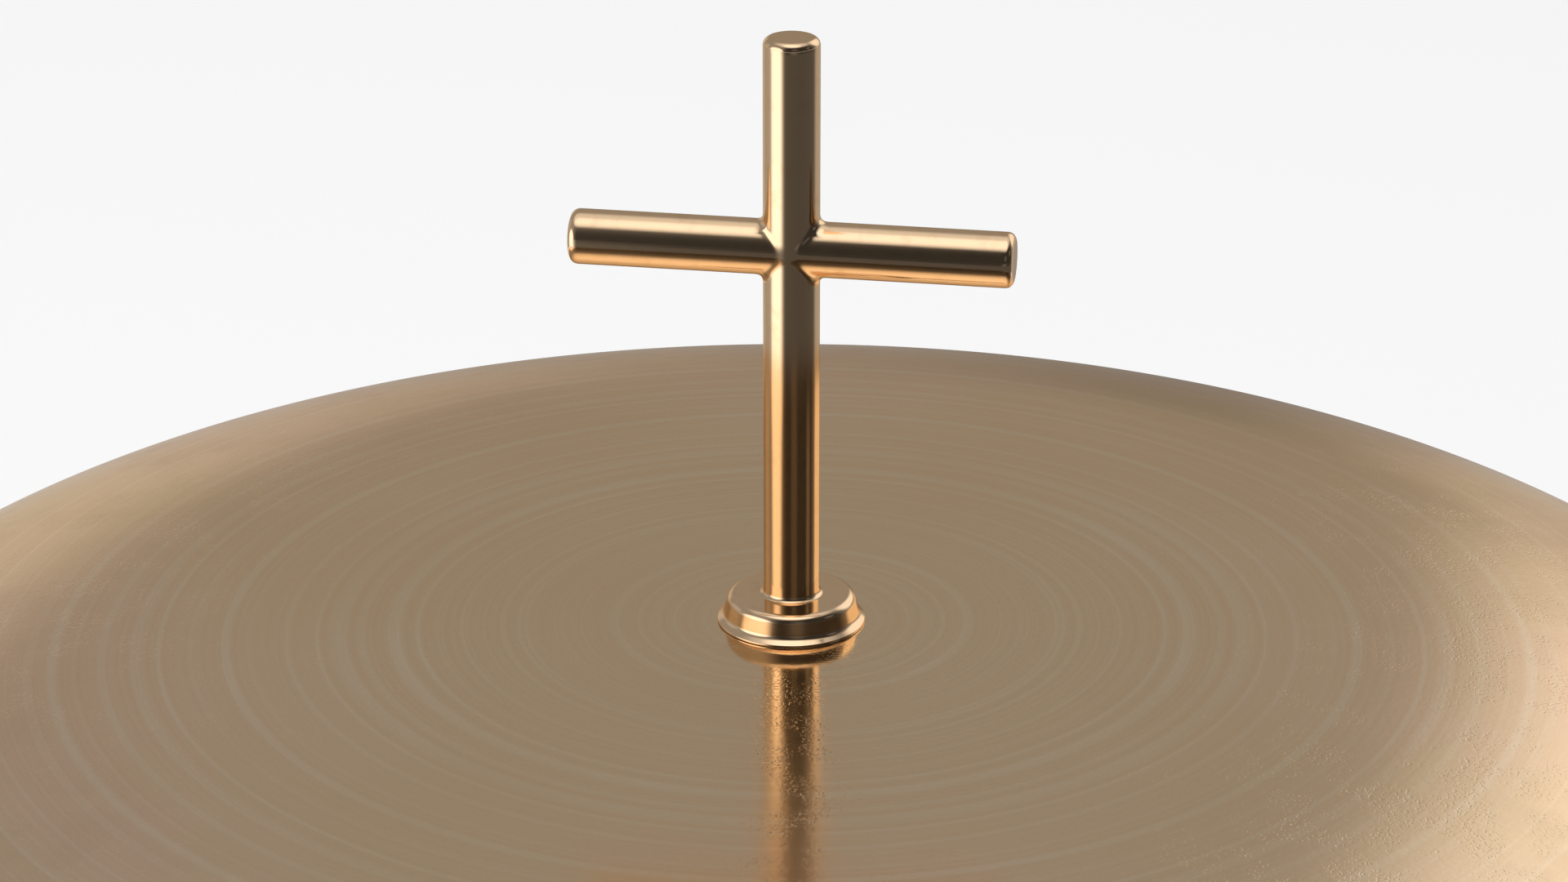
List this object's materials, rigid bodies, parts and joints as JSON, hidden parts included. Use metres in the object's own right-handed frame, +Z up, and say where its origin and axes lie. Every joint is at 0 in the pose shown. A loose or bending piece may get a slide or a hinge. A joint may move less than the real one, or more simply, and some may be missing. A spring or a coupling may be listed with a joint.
{
  "type": "sanctus bell",
  "caption": "Table altar bell: a wide spun-brass dome with a round-rod cross on top, on a weighted foot, rung by a thumb key and hammer under the rim.",
  "frame": {"origin": "centre of the felt's underside, on the bell's axis", "axes": "+Z up along the column; -Y towards the thumb key; the cross's arms lie along X"},
  "size_m": [0.252, 0.281, 0.1836],
  "materials": {
    "dome_brass": "satin, lathe-spun",
    "polished_brass": "polished",
    "foot_brass": "satin, lathe-spun",
    "action_brass": "machined",
    "steel": "machined",
    "spring_steel": "drawn wire",
    "cast_iron": "as cast",
    "felt": "wool felt",
    "leather": "matt",
    "rubber": "matt",
    "boxwood": "waxed"
  },
  "bodies": {
    "stand": {"base_felt": "felt", "base_plate": "steel", "plate_screws": "steel", "ballast_ring": "cast_iron", "base_foot": "foot_brass", "tie_nut": "steel", "tie_washer": "steel", "tie_rod": "steel", "column": "foot_brass", "seat_washer": "steel", "dome_felt": "felt", "centre_bush": "rubber", "bell_dome": "dome_brass", "collar_leather": "leather", "finial_collar": "polished_brass", "cross": "polished_brass", "fulcrum_bracket": "action_brass", "bracket_screws": "steel", "fulcrum_pin": "steel", "pin_clip": "steel", "rest_post": "action_brass", "rest_felt": "felt", "spring_post": "action_brass", "spring_post_cap": "leather", "return_spring": "spring_steel"},
    "key": {"key_lever": "action_brass", "thumb_button": "polished_brass", "button_screw": "steel", "hammer_pin": "steel", "hammer_rest": "felt"},
    "hammer": {"hammer_arm": "steel", "hammer_head": "action_brass", "head_screw": "steel", "hammer_tip": "boxwood"}
  },
  "joints": [
    {"name": "key_press", "type": "hinge", "parent": "stand", "child": "key", "pos_m": [0, -0.08, 0.032], "axis": [1, 0, 0], "range_deg": [0, 6], "stiffness_Nm_per_rad": 0.5, "springref_deg": -7.45, "deforming": ["return_spring"]},
    {"name": "hammer_swing", "type": "hinge", "parent": "key", "child": "hammer", "pos_m": [0, -0.112, 0.04], "axis": [1, 0, 0], "range_deg": [0, 4]}
  ]
}
